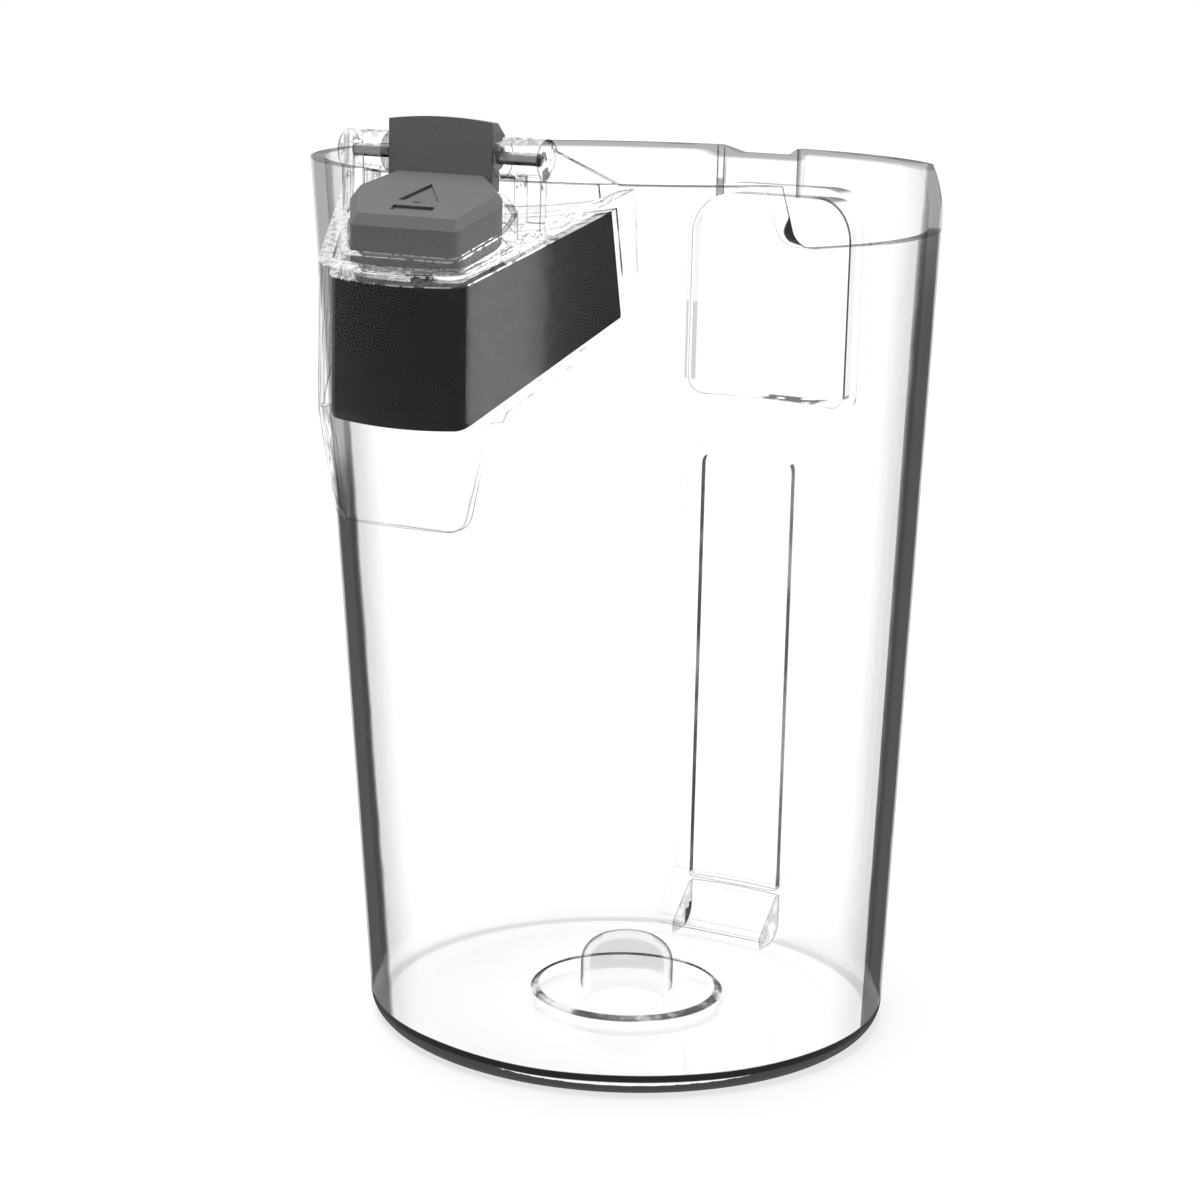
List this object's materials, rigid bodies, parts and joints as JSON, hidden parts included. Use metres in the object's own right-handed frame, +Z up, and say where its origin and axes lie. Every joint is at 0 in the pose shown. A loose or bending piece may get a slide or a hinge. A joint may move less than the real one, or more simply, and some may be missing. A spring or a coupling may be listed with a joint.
{
  "type": "cyclone dust bin",
  "caption": "Clear dust bin for a bagless vacuum cleaner, with a spring-loaded release latch on its handle, an air inlet in the back wall and a guide channel.",
  "frame": {"origin": "middle of the base, on the plane that the bin stands on", "axes": "+X to the right and +Y to the upright back wall with the air inlet, so the handle points to -Y; +Z up through the open rim"},
  "size_m": [0.1394, 0.1732, 0.2126],
  "materials": {
    "clear_plastic": "clear polished moulded plastic",
    "black_plastic": "smooth black moulded plastic",
    "grey_plastic": "fine spark-eroded texture",
    "pin_steel": "ground steel rod",
    "spring_steel": "drawn spring wire"
  },
  "bodies": {
    "bin": {"dust_cup": "clear_plastic", "latch_housing": "black_plastic", "hinge_pin": "pin_steel", "return_spring": "spring_steel"},
    "latch": {"release_latch": "grey_plastic"}
  },
  "joints": [
    {"name": "latch_hinge", "type": "hinge", "parent": "bin", "child": "latch", "pos_m": [0, -0.0864, 0.2051], "axis": [1, 0, 0], "range_deg": [0, 6], "stiffness_Nm_per_rad": 0.15, "springref_deg": -11.46, "deforming": ["return_spring"]}
  ]
}
